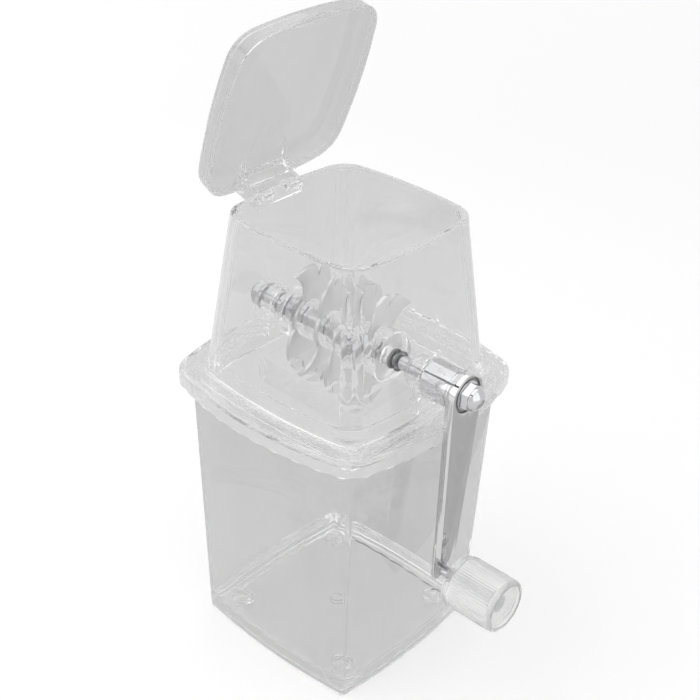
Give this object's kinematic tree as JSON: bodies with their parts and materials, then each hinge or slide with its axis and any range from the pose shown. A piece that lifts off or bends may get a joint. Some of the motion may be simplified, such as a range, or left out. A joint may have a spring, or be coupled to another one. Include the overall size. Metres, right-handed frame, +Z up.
{
  "type": "hand cranked ice crusher",
  "caption": "Clear hand cranked ice crusher: a bin, a hopper with a hinged lid standing on it, steel claws on a cranked shaft, and a breaker grate under them.",
  "frame": {"origin": "middle of the square of four feet, on the table's plane", "axes": "+Z up, +X along the shaft towards the crank, -X towards the lid's hinge, Y across the blades"},
  "size_m": [0.1792, 0.1354, 0.3245],
  "materials": {
    "clear_plastic": "clear moulded acrylic, polished",
    "knob_plastic": "clear moulded acrylic with fine ribs",
    "stainless_steel": "stamped stainless steel, satin",
    "pressed_steel": "pressed steel arm, polished chrome plate",
    "chrome_plate": "polished chrome plate",
    "black_rubber": "black rubber"
  },
  "bodies": {
    "base": {"bin": "clear_plastic", "feet": "clear_plastic"},
    "head": {"hopper": "clear_plastic", "breaker_grate": "clear_plastic", "bush_left": "clear_plastic", "bush_right": "clear_plastic"},
    "lid": {"lid": "clear_plastic", "hinge_pins": "stainless_steel"},
    "rotor": {"shaft": "chrome_plate", "blade_1": "stainless_steel", "blade_2": "stainless_steel", "blade_3": "stainless_steel", "blade_4": "stainless_steel", "spacer_1": "clear_plastic", "spacer_2": "clear_plastic", "spacer_3": "clear_plastic", "disc_left": "clear_plastic", "disc_right": "clear_plastic", "inner_tube": "chrome_plate", "o_rings": "black_rubber", "washer_left": "chrome_plate", "cap_nut_left": "chrome_plate", "crank_sleeve": "chrome_plate", "crank_arm": "pressed_steel", "crank_washer": "black_rubber", "crank_cap_nut": "chrome_plate", "knob_pin": "chrome_plate"},
    "knob": {"knob": "knob_plastic", "knob_cap": "knob_plastic"}
  },
  "joints": [
    {"name": "head_lift", "type": "slide", "parent": "base", "child": "head", "axis": [0, 0, 1], "range_m": [0, 0.06]},
    {"name": "lid_hinge", "type": "hinge", "parent": "head", "child": "lid", "pos_m": [-0.04759, 0, 0.2326], "axis": [0, 1, 0], "range_deg": [0, 71]},
    {"name": "crank_spin", "type": "hinge", "parent": "head", "child": "rotor", "pos_m": [0, 0, 0.172], "axis": [1, 0, 0], "continuous": true},
    {"name": "knob_spin", "type": "hinge", "parent": "rotor", "child": "knob", "pos_m": [0.08, -0.00576, 0.07217], "axis": [1, 0, 0], "continuous": true}
  ]
}
